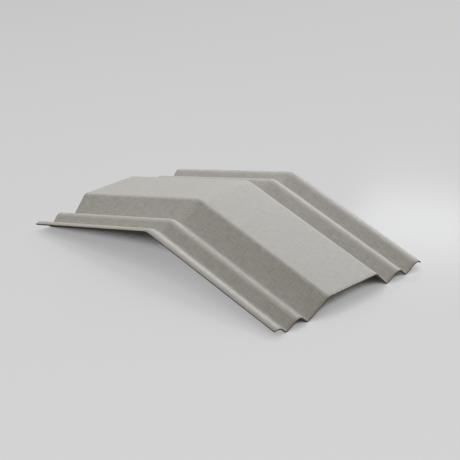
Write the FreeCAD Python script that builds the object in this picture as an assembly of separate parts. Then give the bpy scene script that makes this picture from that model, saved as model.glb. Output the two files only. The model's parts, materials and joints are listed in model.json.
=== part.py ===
import FreeCAD, Part
import math
import os

# Roof ridge cap: one moulded fibre-cement sheet that covers the ridge of a roof.
# X runs across the ridge, Y along it, Z up. The sheet stands on its two lower ends.

SHEET_THICKNESS = 8.0
ROOF_SLOPE = 15.0           # degrees, fall of each wing from the ridge
WING_LENGTH = 870.0         # straight part of a wing, from the rounded fold to the lower end
FOLD_RADIUS = 20.0          # inside of the fold, under the valleys

WAVE_PITCH = 143.9          # valley to valley of the small waves; seven of them make the cover width
FLANK_ANGLE = 42.0          # degrees, every flank against the plane of the wing
CROWN_RISE = 98.0           # crown flat above the valleys
VALLEY_RADIUS = 17.0        # bend radii, all on the middle of the sheet
CREST_RADIUS = 36.0
SHOULDER_RADIUS = 28.0      # the two edges of the crown flat

OVERLAP_LIP = 5.0           # +Y edge: straight lip past the last crest, lies over the next cap
UNDERLAP_RADIUS = 54.0      # -Y edge: flatter and so lower crest, slips under the next cap
UNDERLAP_FALL = 22.0        # degrees, where that crest stops
UNDERLAP_LIP = 1.0


def section_corners():
    """Sharp corners of the sheet's middle line as (along the ridge, height, bend radius)."""
    flank = math.radians(FLANK_ANGLE)
    fall = math.radians(UNDERLAP_FALL)
    low = SHEET_THICKNESS / 2.0 - VALLEY_RADIUS * (1.0 / math.cos(flank) - 1.0)
    crown = SHEET_THICKNESS / 2.0 + CROWN_RISE
    crest = low + 0.5 * WAVE_PITCH * math.tan(flank)
    inner_valley = 2.0 * WAVE_PITCH
    outer_valley = 3.0 * WAVE_PITCH
    edge_crest = 3.5 * WAVE_PITCH
    shoulder = inner_valley - (crown - low) / math.tan(flank)
    # where the underlap's flank and its falling end would meet
    inset = (1.0 / math.cos(flank) - 1.0 / math.cos(fall)) / (math.tan(flank) + math.tan(fall))
    underlap = edge_crest - UNDERLAP_RADIUS * inset
    underlap_top = low + (underlap - outer_valley) * math.tan(flank)
    under_run = UNDERLAP_RADIUS * math.tan(0.5 * (flank + fall)) + UNDERLAP_LIP
    over_run = CREST_RADIUS * math.tan(flank) + OVERLAP_LIP
    return [
        (-underlap - under_run * math.cos(fall), underlap_top - under_run * math.sin(fall), 0.0),
        (-underlap, underlap_top, UNDERLAP_RADIUS),
        (-outer_valley, low, VALLEY_RADIUS),
        (-2.5 * WAVE_PITCH, crest, CREST_RADIUS),
        (-inner_valley, low, VALLEY_RADIUS),
        (-shoulder, crown, SHOULDER_RADIUS),
        (shoulder, crown, SHOULDER_RADIUS),
        (inner_valley, low, VALLEY_RADIUS),
        (2.5 * WAVE_PITCH, crest, CREST_RADIUS),
        (outer_valley, low, VALLEY_RADIUS),
        (edge_crest, crest, CREST_RADIUS),
        (edge_crest + over_run * math.cos(flank), crest - over_run * math.sin(flank), 0.0),
    ]


def bend(before, corner, after):
    """Centre, side and normals of the round that replaces one corner of the middle line."""
    here = FreeCAD.Vector(0, corner[0], corner[1])
    arriving = (here - FreeCAD.Vector(0, before[0], before[1])).normalize()
    leaving = (FreeCAD.Vector(0, after[0], after[1]) - here).normalize()
    up_first = FreeCAD.Vector(0, -arriving.z, arriving.y)
    up_last = FreeCAD.Vector(0, -leaving.z, leaving.y)
    up_middle = (up_first + up_last).normalize()
    side = 1.0 if leaving.z < arriving.z else -1.0
    centre = here - up_middle * (side * corner[2] / up_middle.dot(up_first))
    return centre, side, (up_first, up_middle, up_last)


def sheet_face(lift):
    """Full cut through the sheet in the plane x = 0, with the valleys' underside at height lift."""
    corners = section_corners()
    first, last = corners[0], corners[-1]
    bends = [bend(*three) for three in zip(corners, corners[1:], corners[2:])]
    start = FreeCAD.Vector(0, first[0], first[1])
    end = FreeCAD.Vector(0, last[0], last[1])
    sides = []
    for offset in (SHEET_THICKNESS / 2.0, -SHEET_THICKNESS / 2.0):
        edges = []
        point = start + bends[0][2][0] * offset
        for corner, (centre, side, ups) in zip(corners[1:], bends):
            reach = side * corner[2] + offset
            arc = [centre + up * reach for up in ups]
            edges.append(Part.makeLine(point, arc[0]))
            edges.append(Part.Arc(*arc).toShape())
            point = arc[2]
        edges.append(Part.makeLine(point, end + bends[-1][2][2] * offset))
        sides.append(edges)
    top, under = sides
    near_edge = Part.makeLine(top[0].Vertexes[0].Point, under[0].Vertexes[0].Point)
    far_edge = Part.makeLine(top[-1].Vertexes[-1].Point, under[-1].Vertexes[-1].Point)
    face = Part.Face(Part.Wire(Part.__sortEdges__(top + under + [near_edge, far_edge])))
    face.translate(FreeCAD.Vector(0, 0, lift))
    return face


slope = math.radians(ROOF_SLOPE)
fold_axis = FreeCAD.Vector(0, 0, WING_LENGTH * math.sin(slope) - FOLD_RADIUS * math.cos(slope))
ridge_line = FreeCAD.Vector(0, 1, 0)
section = sheet_face(fold_axis.z + FOLD_RADIUS)
section.translate(FreeCAD.Vector(0, -0.5 * (section.BoundBox.YMin + section.BoundBox.YMax), 0))

wings = []
for turn in (ROOF_SLOPE, -ROOF_SLOPE):
    root = section.copy()
    root.rotate(fold_axis, ridge_line, turn)
    run = FreeCAD.Vector(math.copysign(math.cos(slope), turn), 0, -math.sin(slope))
    wings.append(root.extrude(run * WING_LENGTH))

fold = section.copy()
fold.rotate(fold_axis, ridge_line, -ROOF_SLOPE)
fold = fold.revolve(fold_axis, ridge_line, 2.0 * ROOF_SLOPE)

ridge_cap = fold.fuse(wings).removeSplitter().Solids[0]

os.makedirs("parts", exist_ok=True)
ridge_cap.exportStep("parts/ridge_cap.step")
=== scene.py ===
import json
import math

import bmesh
import bpy
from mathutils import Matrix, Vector, noise


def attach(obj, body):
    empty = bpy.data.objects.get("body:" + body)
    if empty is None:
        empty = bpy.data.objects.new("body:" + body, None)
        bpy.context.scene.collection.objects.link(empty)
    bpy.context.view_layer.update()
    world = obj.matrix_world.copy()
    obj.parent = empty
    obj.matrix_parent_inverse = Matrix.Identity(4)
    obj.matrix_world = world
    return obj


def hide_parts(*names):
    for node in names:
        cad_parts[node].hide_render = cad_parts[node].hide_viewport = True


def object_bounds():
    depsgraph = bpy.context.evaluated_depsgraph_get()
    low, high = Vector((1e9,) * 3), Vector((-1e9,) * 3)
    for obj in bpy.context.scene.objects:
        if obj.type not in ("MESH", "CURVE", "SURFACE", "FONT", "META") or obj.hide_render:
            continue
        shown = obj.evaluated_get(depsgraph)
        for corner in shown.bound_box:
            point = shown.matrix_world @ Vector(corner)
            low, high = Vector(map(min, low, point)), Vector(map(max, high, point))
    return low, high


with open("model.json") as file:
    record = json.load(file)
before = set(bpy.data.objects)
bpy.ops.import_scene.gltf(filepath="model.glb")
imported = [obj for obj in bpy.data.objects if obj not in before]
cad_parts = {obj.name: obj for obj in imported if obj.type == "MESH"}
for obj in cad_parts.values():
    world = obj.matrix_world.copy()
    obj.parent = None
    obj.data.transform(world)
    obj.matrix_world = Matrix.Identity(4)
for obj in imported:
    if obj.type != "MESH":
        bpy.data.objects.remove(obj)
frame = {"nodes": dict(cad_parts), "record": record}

CAD_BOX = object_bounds()
NODE = frame["nodes"]["ridge_cap"]
RIGHT_WING = frame["record"]["mounts"][0]

# the view of the photograph
VIEW_AZIMUTH = math.radians(44.86)
VIEW_ELEVATION = math.radians(24.27)
VIEW_DISTANCE = 8.461
VIEW_TARGET = Vector((0.0043, 0.0408, 0.0977))
LENS = 129.96
SENSOR_WIDTH = 36.0

# how the solid is read
SAME_POINT = 1e-6
SAME_PLANE = 1e-5
NEXT_STATION = 0.001
LIP_CORNER = math.radians(60)
FLAT_TO_BEND = 2.2  # a chord this many times as long as the next one is a flat beside a bend

# how finely the sheet is divided
WING_STATIONS = 44
FOLD_STATIONS = 22
FLAT_STEP = 0.011
BEND_PARTS = 2
LIP_MARGIN = 0.003
SMOOTH_ANGLE = math.radians(35)
RIM_CORNER = 1.0  # radians, the four corners where a lip meets a sawn end

# what sawing and pressing leave on the sheet
ARRIS = 0.0007
SAW_WANDER = 0.0005
SAW_WAVES = 9.0
SAW_SIDE_STEP = 7.3
SAW_SEED = 1.7
SHEET_WANDER = 0.0001
SHEET_WAVES_ACROSS = 3.1
SHEET_WAVES_ALONG = 2.7
SHEET_SEED = 4.2
SHEET_CALM = 0.05  # the wander dies away this near to the rim

# the linen of the pressing cloth
THREAD = 0.004
THREAD_STRAY = 0.003
THREAD_CROSSING = 0.25  # how softly a thread dips under the next one
SLUB_WIDTH = 0.0042
SLUB_LENGTH = 0.055
# share of the slubs in the face's tone on a steep flank and on a flat crown; the flank's larger
# share is painted shade of the print's relief
FLANK_PRINT_AND_SHADE = 3.45
CROWN_PRINT_AND_SHADE = 1.2075
FLANK_UPRIGHT = 0.76  # how far a steep flank and a flat crown face upward
CROWN_UPRIGHT = 0.94
PRINT_DEPTH = 0.0007
SAWN_DEPTH = 0.0004

# middle of a noise, of the linen's height, of its slubs and of a tone
NOISE_MIDDLE = 0.5
LINEN_MIDDLE = 0.6
SLUB_MIDDLE = 1.0
TONE_MIDDLE = 0.5

# colours of the sheet, dark and pale where there are two
CEMENT = (0.365, 0.358, 0.327, 1.0), (0.455, 0.447, 0.414, 1.0)
RUBBED = (0.27, 0.225, 0.165, 1.0)
# painted shade: a darker band along the near lip
LIP_SHADE = (0.30, 0.288, 0.255, 1.0)
DULL_CEMENT = (0.23, 0.22, 0.20, 1.0), (0.34, 0.33, 0.30, 1.0)
RAW_CEMENT = (0.42, 0.335, 0.225, 1.0), (0.64, 0.54, 0.405, 1.0)
FIBRE_END = (0.62, 0.57, 0.48, 1.0)
PIT = (0.15, 0.12, 0.085, 1.0)
# painted shade on the near lip's edge
LIP_EDGE_SHADE = (0.09, 0.082, 0.068, 1.0)

# how much of a colour shows where it is strongest
RUBBED_SHARE = 0.55
LIP_SHADE_SHARE = 0.6
FIBRE_SHARE = 0.4
PIT_SHARE = 0.6
LIP_EDGE_SHADE_SHARE = 0.7

# widths of the rubbed rim, of the band of painted shade along the near lip and of the painted shade
# on its edge
RUBBED_WIDTH = 0.009
LIP_SHADE_WIDTH = 0.036
LIP_EDGE_SHADE_WIDTH = 0.002

# roughness of the sheet, in dark places and in pale ones
FACE_ROUGHNESS = 0.62, 0.52
UNDERSIDE_ROUGHNESS = 0.86, 0.74
RIM_ROUGHNESS = 0.95, 0.80

# the studio floor as it is seen: its glow, which carries the sheet's painted shadow, rises with the
# open air straight above it and to the front (least air, most air, rise) and fades away from the
# camera as a painted falloff
FLOOR_RADIUS = 30.0
AIR_REACH = 1.2
AIR_SAMPLES = 48
FRONT_LEAN = math.radians(40)
GLOW_ABOVE = (0.053, 0.085, 0.072), (0.293, 0.881, 0.088)
GLOW_FRONT = (0.288, 0.322, 0.307), (0.400, 0.720, 0.135)
FADE_WAY = (-0.7, 0.7, 0.0)
FADE_START = -1.9
FADE_END = 8.0
FADE_TO = 0.74
FLOOR_GREY = (0.058, 0.058, 0.058, 1.0), (0.062, 0.062, 0.062, 1.0)
FLOOR_ROUGHNESS = 0.145
FLOOR_GLOSS = 0.0024
FLOOR_GLOSS_TINT = (1.0, 0.957, 0.88, 1.0)
WHITE = (1.0, 1.0, 1.0, 1.0)

# the studio floor as it lights the sheet
FLOOR_BOUNCE = (0.06, 0.06, 0.06, 1.0)

# the light
LIGHT_AIM = Vector((0.0, 0.0, 0.1))
BROAD_LAMP = (3.2, 3.2)
LOW_LAMP = (1.4, 0.6)
WORLD_COLOUR = (1.0, 0.90, 0.66, 1.0)
WORLD_STRENGTH = 0.225

FACE, UNDERSIDE, RIM = 0, 1, 2


# the section, read from the solid

def wing_axes():
    """Outward normal of the right wing and the direction down its slope."""
    normal = -Vector(RIGHT_WING["axis"]).normalized()
    return normal, Vector((normal.z, 0, -normal.x))


def clean_solid():
    """The solid's mesh with its doubled points joined."""
    bm = bmesh.new()
    bm.from_mesh(NODE.data)
    bmesh.ops.remove_doubles(bm, verts=bm.verts, dist=SAME_POINT)
    return bm


def sawn_loop(bm, reach, down):
    """The corners of the right wing's sawn end, in order round it."""
    cut = {f for f in bm.faces if all(reach - v.co.dot(down) < SAME_PLANE for v in f.verts)}
    rim = [e for e in bm.edges if sum(f in cut for f in e.link_faces) == 1]
    ways = {}
    for e in rim:
        a, b = e.verts
        ways.setdefault(a, []).append(b)
        ways.setdefault(b, []).append(a)
    loop = [rim[0].verts[0]]
    before = None
    while True:
        here = loop[-1]
        onward = next(v for v in ways[here] if v is not before)
        if onward is loop[0]:
            return [v.co.copy() for v in loop]
        before = here
        loop.append(onward)


def corner_places(points):
    """Places in a closed loop where it turns sharply: the four arrises of the sheet's two lips."""
    found = []
    count = len(points)
    for k, here in enumerate(points):
        back = here - points[k - 1]
        on = points[(k + 1) % count] - here
        if back.angle(on) > LIP_CORNER:
            found.append(k)
    return found


def upper_line(points):
    """The upper side of the section from the near lip to the far lip, and the sheet's thickness."""
    corners = corner_places(points)
    chains = []
    for a, b in zip(corners, corners[1:] + [corners[0] + len(points)]):
        chains.append([points[k % len(points)] for k in range(a, b + 1)])
    chains.sort(key=len)
    thickness = (chains[0][-1] - chains[0][0]).length
    upper = max(chains[-2:], key=lambda chain: sum(p.y for p in chain) / len(chain))
    if upper[0].x > upper[-1].x:
        upper.reverse()
    return upper, thickness


def line_tangents(points):
    """Direction of the line at each point.

    It is a flat's own direction at the ends of the flat, and the mean of two chords in a bend.
    """
    found = []
    last = len(points) - 1
    for k in range(last + 1):
        back = points[k] - points[k - 1] if k else None
        on = points[k + 1] - points[k] if k < last else None
        if back is None:
            found.append(on.normalized())
        elif on is None:
            found.append(back.normalized())
        elif back.length > FLAT_TO_BEND * on.length:
            found.append(back.normalized())
        elif on.length > FLAT_TO_BEND * back.length:
            found.append(on.normalized())
        else:
            found.append((back.normalized() + on.normalized()).normalized())
    return found


def fine_line(points):
    """The section line with its bends rounded between the solid's points and its flats divided."""
    ways = line_tangents(points)
    line = []
    for k in range(len(points) - 1):
        a, b = points[k], points[k + 1]
        size = (b - a).length
        parts = max(BEND_PARTS, round(size / FLAT_STEP))
        for i in range(parts):
            t = i / parts
            ends = a * (2 * t ** 3 - 3 * t ** 2 + 1) + b * (3 * t ** 2 - 2 * t ** 3)
            swing = ways[k] * (t ** 3 - 2 * t ** 2 + t) + ways[k + 1] * (t ** 3 - t ** 2)
            line.append((ends + swing * size, ways[k].lerp(ways[k + 1], t).normalized()))
    inner = [(place, way) for place, way in line
             if min((place - points[0]).length, (place - points[-1]).length) > LIP_MARGIN]
    return [(points[0], ways[0])] + inner + [(points[-1], ways[-1])]


def read_section():
    """Everything the sheet's mesh needs, measured on the solid."""
    normal, down = wing_axes()
    bm = clean_solid()
    along = [v.co.dot(down) for v in bm.verts]
    reach = max(along)
    start = max(a for a in along if a < reach - NEXT_STATION)
    loop = sawn_loop(bm, reach, down)
    bm.free()
    upper, thickness = upper_line([Vector((p.y, p.dot(normal))) for p in loop])
    slope = math.atan2(normal.x, normal.z)
    axis_height = -start / math.sin(slope)
    foot = axis_height * math.cos(slope)
    return {
        "line": [(Vector((p.x, p.y - foot)), way) for p, way in fine_line(upper)],
        "thickness": thickness,
        "slope": slope,
        "axis": axis_height,
        "wing": reach - start,
    }


# the sheet

def stations(section):
    """Turn about the fold's axis and run past it, at places from the left end to the right end."""
    slope, wing = section["slope"], section["wing"]
    runs = [wing * k / WING_STATIONS for k in range(WING_STATIONS, 0, -1)]
    turns = [slope * (2 * k / FOLD_STATIONS - 1) for k in range(FOLD_STATIONS + 1)]
    left = [(-slope, -run) for run in runs]
    right = [(slope, run) for run in reversed(runs)]
    return left + [(turn, 0.0) for turn in turns] + right


def on_sheet(section, turn, run, y, height):
    """A point of the section set at a station of the sheet."""
    x = height * math.sin(turn) + run * math.cos(turn)
    z = section["axis"] + height * math.cos(turn) - abs(run) * math.sin(abs(turn))
    return Vector((x, y, z))


def arc_lengths(line):
    """Way along the section to each of its points, from the middle."""
    total = [0.0]
    for (a, _), (b, _) in zip(line, line[1:]):
        total.append(total[-1] + (b - a).length)
    half = total[-1] / 2
    return [t - half for t in total]


def saw_bite(y, side):
    """How far the saw cut in from the straight end, at a place along it."""
    return SAW_WANDER * abs(noise.noise(Vector((y * SAW_WAVES, side * SAW_SIDE_STEP, SAW_SEED))))


def sheet_swell(u, along, inward):
    """How far the face stands off the true section, at a place on the flat sheet."""
    place = Vector((u * SHEET_WAVES_ACROSS, along * SHEET_WAVES_ALONG, SHEET_SEED))
    return SHEET_WANDER * noise.noise(place) * min(1.0, inward / SHEET_CALM)


def sheet_rows(section):
    """Upper and lower rows of points, with their place on the flat sheet.

    That place is the way across it, the way along it and the way in from its rim.
    """
    line = section["line"]
    across = arc_lengths(line)
    half = across[-1]
    crown = max(p.y for p, _ in line)
    end = section["wing"]
    upper, lower = [], []
    for turn, run in stations(section):
        along = crown * turn + run
        above, below = [], []
        for (p, way), u in zip(line, across):
            cut = run
            if abs(run) > end - SAME_POINT:
                side = math.copysign(1.0, run)
                cut = run - side * saw_bite(p.x, side)
            inward = min(half - abs(u), end - abs(run))
            swell = sheet_swell(u, along, inward)
            out = Vector((-way.y, way.x))
            for row, depth in ((above, 0.0), (below, section["thickness"])):
                place = p + out * (swell - depth)
                row.append((on_sheet(section, turn, cut, place.x, place.y), (u, along, inward)))
        upper.append(above)
        lower.append(below)
    return upper, lower


def point_grid(bm, layer, rows):
    """The rows of points as vertices that keep their place on the flat sheet."""
    grid = []
    for row in rows:
        made = []
        for place, where in row:
            v = bm.verts.new(place)
            v[layer] = where
            made.append(v)
        grid.append(made)
    return grid


def sheet_mesh(section):
    """One closed skin: upper side, underside, two lips and two sawn ends, with its arrises eased."""
    bm = bmesh.new()
    layer = bm.verts.layers.float_vector.new("flat")
    upper, lower = [point_grid(bm, layer, rows) for rows in sheet_rows(section)]

    def panel(kind, *corners):
        bm.faces.new(corners).material_index = kind

    end = len(upper) - 1
    lip = len(upper[0]) - 1
    for i in range(end):
        for k in range(lip):
            panel(FACE, upper[i][k], upper[i + 1][k], upper[i + 1][k + 1], upper[i][k + 1])
            panel(UNDERSIDE, lower[i][k], lower[i][k + 1], lower[i + 1][k + 1], lower[i + 1][k])
        panel(RIM, lower[i][0], lower[i + 1][0], upper[i + 1][0], upper[i][0])
        panel(RIM, upper[i][lip], upper[i + 1][lip], lower[i + 1][lip], lower[i][lip])
    for k in range(lip):
        panel(RIM, lower[0][k], upper[0][k], upper[0][k + 1], lower[0][k + 1])
        panel(RIM, upper[end][k], lower[end][k], lower[end][k + 1], upper[end][k + 1])
    bmesh.ops.recalc_face_normals(bm, faces=bm.faces)
    arrises = [e for e in bm.edges if len({f.material_index for f in e.link_faces}) == 2]
    corners = [e for e in bm.edges if all(f.material_index == RIM for f in e.link_faces)
               and e.calc_face_angle(0.0) > RIM_CORNER]
    bmesh.ops.bevel(bm, geom=arrises + corners, offset=ARRIS, segments=2, profile=0.5,
                    affect="EDGES", material=RIM, clamp_overlap=True)
    return bm


def make_sheet(section):
    """The one piece that is shown in place of the solid."""
    bm = sheet_mesh(section)
    mesh = bpy.data.meshes.new("pressed_sheet")
    bm.to_mesh(mesh)
    bm.free()
    near_lip = arc_lengths(section["line"])[0]
    for material in (pressed_face(near_lip), felt_underside(), sawn_rim(near_lip)):
        mesh.materials.append(material)
    mesh.shade_smooth()
    mesh.set_sharp_from_angle(angle=SMOOTH_ANGLE)
    sheet = bpy.data.objects.new("pressed_sheet", mesh)
    bpy.context.scene.collection.objects.link(sheet)
    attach(sheet, "root")
    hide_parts("ridge_cap")


# the materials

class Shade:
    """A material's node tree, with short ways to add to it."""

    def __init__(self, name):
        self.material = bpy.data.materials.new(name)
        self.material.use_nodes = True
        self.tree = self.material.node_tree
        self.bsdf = self.tree.nodes["Principled BSDF"]

    def node(self, kind, **values):
        made = self.tree.nodes.new(kind)
        for key, value in values.items():
            setattr(made, key, value)
        return made

    def link(self, out, into):
        self.tree.links.new(out, into)

    def put(self, value, socket):
        """Set a constant on a socket, or link another node's output to it."""
        if isinstance(value, (int, float, tuple)):
            socket.default_value = value
        else:
            self.link(value, socket)

    def surface(self, key, value):
        self.put(value, self.bsdf.inputs[key])

    def math(self, operation, a, b=0.0, c=0.0):
        made = self.node("ShaderNodeMath", operation=operation)
        for value, socket in zip((a, b, c), made.inputs):
            self.put(value, socket)
        return made.outputs[0]

    def vary(self, level, *parts):
        """A level that follows each value's way from its middle, times that value's share."""
        for value, middle, share in parts:
            level = self.math("MULTIPLY_ADD", self.math("SUBTRACT", value, middle), share, level)
        return level

    def ramp(self, value, low, high, to_low=0.0, to_high=1.0, smooth=True):
        kind = "SMOOTHSTEP" if smooth else "LINEAR"
        made = self.node("ShaderNodeMapRange", interpolation_type=kind)
        self.put(value, made.inputs["Value"])
        limits = {"From Min": low, "From Max": high, "To Min": to_low, "To Max": to_high}
        for key, number in limits.items():
            made.inputs[key].default_value = number
        return made.outputs["Result"]

    def flat(self):
        """Place on the flat sheet, and its parts: across, along, way in from the rim."""
        where = self.node("ShaderNodeAttribute", attribute_name="flat")
        split = self.node("ShaderNodeSeparateXYZ")
        self.link(where.outputs["Vector"], split.inputs[0])
        return where.outputs["Vector"], *split.outputs

    def spot(self):
        """Place in space."""
        return self.node("ShaderNodeTexCoord").outputs["Object"]

    def normal(self):
        return self.node("ShaderNodeNewGeometry").outputs["Normal"]

    def upright(self):
        """How far the surface faces upward, 0 to 1."""
        split = self.node("ShaderNodeSeparateXYZ")
        self.link(self.normal(), split.inputs[0])
        return split.outputs[2]

    def noise(self, place, scale, stretch=(1.0, 1.0, 1.0), detail=3.0, rough=0.5):
        moved = self.node("ShaderNodeVectorMath", operation="MULTIPLY")
        self.link(place, moved.inputs[0])
        moved.inputs[1].default_value = stretch
        made = self.node("ShaderNodeTexNoise")
        self.link(moved.outputs[0], made.inputs["Vector"])
        made.inputs["Scale"].default_value = scale
        made.inputs["Detail"].default_value = detail
        made.inputs["Roughness"].default_value = rough
        return made.outputs["Fac"]

    def sheet_noise(self, where, scale, detail=3.0, rough=0.5, along=1.0):
        """Noise over the flat sheet that doesn't change with the way in from the rim."""
        return self.noise(where, scale, (1.0, along, 0.0), detail, rough)

    def mix(self, factor, a, b):
        made = self.node("ShaderNodeMix", data_type="RGBA")
        self.put(factor, made.inputs["Factor"])
        self.put(a, made.inputs["A"])
        self.put(b, made.inputs["B"])
        return made.outputs["Result"]

    def bump(self, height, depth):
        made = self.node("ShaderNodeBump")
        self.link(height, made.inputs["Height"])
        made.inputs["Distance"].default_value = depth
        made.inputs["Strength"].default_value = 1.0
        self.link(made.outputs["Normal"], self.bsdf.inputs["Normal"])


def linen(shade, where, u, v):
    """Height of a plain linen weave with uneven threads, 0 to about 1."""
    stray = shade.vary(0.0, (shade.noise(where, scale=22.0), NOISE_MIDDLE, 2 * THREAD_STRAY))
    waves = []
    for place in (u, v):
        turn = shade.math("MULTIPLY", shade.math("ADD", place, stray), math.pi / THREAD)
        waves.append(shade.math("SINE", turn))
    warp, weft = [shade.math("ABSOLUTE", wave) for wave in waves]
    warp_over = shade.ramp(shade.math("MULTIPLY", *waves), -THREAD_CROSSING, THREAD_CROSSING)
    return shade.vary(weft, (warp, weft, warp_over))


def slubs(shade, where):
    """Thicker and thinner threads: streaks along the sheet and across it, about 1 on average."""
    narrow = 1.0 / SLUB_WIDTH
    long = 1.0 / SLUB_LENGTH
    down = shade.noise(where, 1.0, (narrow, long, 0.0), detail=1.0)
    over = shade.noise(where, 1.0, (long, narrow, 0.0), detail=1.0)
    return shade.math("ADD", down, over)


def pressed_face(near_lip):
    """Weather side: warm grey fibre cement with the print of the pressing cloth."""
    shade = Shade("pressed_face")
    where, u, v, inward = shade.flat()
    weave = linen(shade, where, u, v)
    streak = slubs(shade, where)
    cloud = shade.sheet_noise(where, scale=5.0, detail=4.0, rough=0.55)
    grain = shade.sheet_noise(where, scale=700.0, detail=2.0, rough=0.6)
    patches = shade.ramp(shade.sheet_noise(where, scale=60.0), 0.42, 0.68)
    # painted shade: the print shows stronger on steep flanks than on the crown
    print_and_shade_share = shade.ramp(shade.upright(), FLANK_UPRIGHT, CROWN_UPRIGHT, FLANK_PRINT_AND_SHADE, CROWN_PRINT_AND_SHADE)
    tone = shade.vary(
        TONE_MIDDLE,
        (streak, SLUB_MIDDLE, print_and_shade_share),
        (cloud, NOISE_MIDDLE, 0.15),
        (weave, LINEN_MIDDLE, 0.18),
        (grain, NOISE_MIDDLE, 0.15),
    )
    height = shade.vary(
        0.0,
        (weave, LINEN_MIDDLE, 0.30),
        (streak, SLUB_MIDDLE, 1.15),
        (grain, NOISE_MIDDLE, 0.12),
    )
    rub = shade.math("MULTIPLY", shade.ramp(inward, 0.0, RUBBED_WIDTH, RUBBED_SHARE, 0.0), patches)
    # painted shade: a darker band along the near lip
    lip_shade = shade.ramp(u, near_lip, near_lip + LIP_SHADE_WIDTH, LIP_SHADE_SHARE, 0.0)
    colour = shade.mix(tone, *CEMENT)
    colour = shade.mix(rub, colour, RUBBED)
    colour = shade.mix(lip_shade, colour, LIP_SHADE)
    shade.surface("Base Color", colour)
    shade.surface("Roughness", shade.ramp(tone, 0.2, 0.8, *FACE_ROUGHNESS, smooth=False))
    shade.bump(height, PRINT_DEPTH)
    return shade.material


def felt_underside():
    """Underside: the same cement, duller and cloudier, with the print less deep."""
    shade = Shade("felt_underside")
    where = shade.flat()[0]
    cloud = shade.sheet_noise(where, scale=7.0, detail=5.0, rough=0.6, along=0.6)
    grain = shade.sheet_noise(where, scale=320.0, rough=0.6)
    streak = slubs(shade, where)
    tone = shade.vary(TONE_MIDDLE, (cloud, NOISE_MIDDLE, 1.1), (grain, NOISE_MIDDLE, 0.35))
    height = shade.vary(0.0, (streak, SLUB_MIDDLE, 0.6), (grain, NOISE_MIDDLE, 0.5))
    shade.surface("Base Color", shade.mix(tone, *DULL_CEMENT))
    shade.surface("Roughness", shade.ramp(cloud, 0.3, 0.7, *UNDERSIDE_ROUGHNESS, smooth=False))
    shade.bump(height, PRINT_DEPTH)
    return shade.material


def sawn_rim(near_lip):
    """Sawn edge: brown raw cement in thin layers, with fibre ends, pits and painted shade on the
    near lip's edge.
    """
    shade = Shade("sawn_rim")
    u = shade.flat()[1]
    spot = shade.spot()
    layers = shade.noise(spot, 1.0, (90.0, 90.0, 900.0), rough=0.6)
    pits = shade.noise(spot, scale=420.0, detail=2.0, rough=0.6)
    fibres = shade.ramp(shade.noise(spot, scale=1100.0), 0.60, 0.74, 0.0, FIBRE_SHARE)
    # painted shade: the near lip's edge made near black
    lip_edge_shade = shade.ramp(u, near_lip, near_lip + LIP_EDGE_SHADE_WIDTH, LIP_EDGE_SHADE_SHARE, 0.0)
    colour = shade.mix(shade.ramp(layers, 0.3, 0.7), *RAW_CEMENT)
    colour = shade.mix(fibres, colour, FIBRE_END)
    colour = shade.mix(shade.ramp(pits, 0.62, 0.72, 0.0, PIT_SHARE), colour, PIT)
    colour = shade.mix(lip_edge_shade, colour, LIP_EDGE_SHADE)
    height = shade.vary(0.0, (layers, NOISE_MIDDLE, 0.6), (shade.ramp(pits, 0.58, 0.75), 0.0, -1.0))
    shade.surface("Base Color", colour)
    shade.surface("Roughness", shade.ramp(layers, 0.2, 0.8, *RIM_ROUGHNESS, smooth=False))
    shade.bump(height, SAWN_DEPTH)
    return shade.material


def open_air(shade, lean):
    """Share of the air within reach that is open above a place, leaning to the front, 0 to 1."""
    leaning = shade.node("ShaderNodeVectorRotate", rotation_type="X_AXIS")
    shade.link(shade.normal(), leaning.inputs["Vector"])
    leaning.inputs["Angle"].default_value = lean
    made = shade.node("ShaderNodeAmbientOcclusion", samples=AIR_SAMPLES)
    made.inputs["Distance"].default_value = AIR_REACH
    shade.link(leaning.outputs[0], made.inputs["Normal"])
    return made.outputs["AO"]


def floor_glow(shade, spot):
    """Light of the floor as it is seen: less where the sheet covers it, a painted shadow, and less
    far from the camera, a painted falloff.
    """
    glow = 0.0
    for lean, rises in ((0.0, GLOW_ABOVE), (FRONT_LEAN, GLOW_FRONT)):
        air = open_air(shade, lean)
        for least, most, rise in rises:
            glow = shade.math("ADD", shade.ramp(air, least, most, 0.0, rise, smooth=False), glow)
    away = shade.node("ShaderNodeVectorMath", operation="DOT_PRODUCT")
    shade.link(spot, away.inputs[0])
    away.inputs[1].default_value = FADE_WAY
    fade = shade.ramp(away.outputs["Value"], FADE_START, FADE_END, 1.0, FADE_TO, smooth=False)
    return shade.math("MULTIPLY", glow, fade)


def floor_material():
    """Plain pale studio floor: it shows the sheet's soft shadow, mostly painted into its glow and
    partly cast by the lamps, and throws little light back.
    """
    shade = Shade("studio_floor")
    spot = shade.spot()
    shade.surface("Base Color", shade.mix(shade.noise(spot, scale=0.6, detail=2.0), *FLOOR_GREY))
    shade.surface("Roughness", FLOOR_ROUGHNESS)
    shade.surface("Specular IOR Level", FLOOR_GLOSS)
    shade.surface("Specular Tint", FLOOR_GLOSS_TINT)
    shade.surface("Emission Color", WHITE)
    shade.surface("Emission Strength", floor_glow(shade, spot))
    dull = shade.node("ShaderNodeBsdfDiffuse")
    dull.inputs["Color"].default_value = FLOOR_BOUNCE
    rays = shade.node("ShaderNodeLightPath").outputs
    seen = shade.math("MAXIMUM", rays["Is Camera Ray"], rays["Is Glossy Ray"])
    seen = shade.math("MAXIMUM", seen, rays["Is Transmission Ray"])
    either = shade.node("ShaderNodeMixShader")
    shade.link(seen, either.inputs["Fac"])
    shade.link(dull.outputs[0], either.inputs[1])
    shade.link(shade.bsdf.outputs[0], either.inputs[2])
    shade.link(either.outputs[0], shade.tree.nodes["Material Output"].inputs["Surface"])
    return shade.material


# the studio

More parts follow.
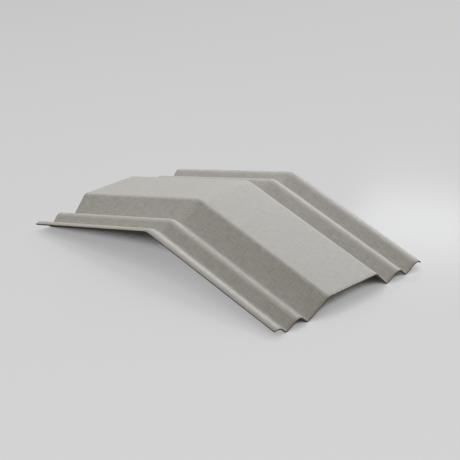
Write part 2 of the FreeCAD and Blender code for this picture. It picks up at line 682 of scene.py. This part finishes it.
def make_floor():
    """A wide round floor under the sheet."""
    bm = bmesh.new()
    bmesh.ops.create_circle(bm, cap_ends=True, radius=FLOOR_RADIUS, segments=64)
    mesh = bpy.data.meshes.new("studio_floor")
    bm.to_mesh(mesh)
    bm.free()
    mesh.materials.append(floor_material())
    floor = bpy.data.objects.new("studio_floor", mesh)
    floor.location.z = CAD_BOX[0][2]
    bpy.context.scene.collection.objects.link(floor)


def soft_light(name, place, size, watts, tint):
    """A wide soft lamp that is turned to the sheet and not seen itself."""
    data = bpy.data.lights.new(name, "AREA")
    data.shape = "ELLIPSE"
    data.size, data.size_y = size
    data.energy = watts
    data.color = tint
    lamp = bpy.data.objects.new(name, data)
    lamp.location = place
    lamp.visible_camera = False
    lamp.rotation_euler = (LIGHT_AIM - Vector(place)).to_track_quat("-Z", "Y").to_euler()
    bpy.context.scene.collection.objects.link(lamp)
    return lamp


def make_light():
    """Four soft lamps and a little warm light from all round."""
    overhead = soft_light("overhead", place=(-1.0, 1.0, 6.5), size=BROAD_LAMP, watts=325.0,
                          tint=(0.93, 0.92, 1.0))
    overhead.visible_glossy = False
    soft_light("behind", place=(0.0, 7.0, 4.5), size=BROAD_LAMP, watts=216.0,
               tint=(0.86, 0.92, 1.0))
    soft_light("low_behind", place=(-3.43, 6.11, 2.91), size=LOW_LAMP, watts=107.0,
               tint=(0.94, 0.97, 1.0))
    soft_light("left", place=(-6.0, 0.5, 4.5), size=BROAD_LAMP, watts=64.0,
               tint=(0.96, 0.99, 1.0))
    world = bpy.data.worlds.new("studio")
    world.use_nodes = True
    background = world.node_tree.nodes["Background"].inputs
    background["Color"].default_value = WORLD_COLOUR
    background["Strength"].default_value = WORLD_STRENGTH
    bpy.context.scene.world = world


def make_camera():
    """The camera at the photograph's view."""
    level = math.cos(VIEW_ELEVATION)
    back = Vector((math.sin(VIEW_AZIMUTH) * level, -math.cos(VIEW_AZIMUTH) * level,
                   math.sin(VIEW_ELEVATION)))
    data = bpy.data.cameras.new("photo_view")
    data.sensor_fit = "HORIZONTAL"
    data.sensor_width = SENSOR_WIDTH
    data.lens = LENS
    camera = bpy.data.objects.new("photo_view", data)
    camera.location = VIEW_TARGET + back * VIEW_DISTANCE
    camera.rotation_euler = back.to_track_quat("Z", "Y").to_euler()
    bpy.context.scene.collection.objects.link(camera)
    bpy.context.scene.camera = camera


make_sheet(read_section())
make_floor()
make_light()
make_camera()
bpy.context.scene.view_settings.view_transform = "Standard"
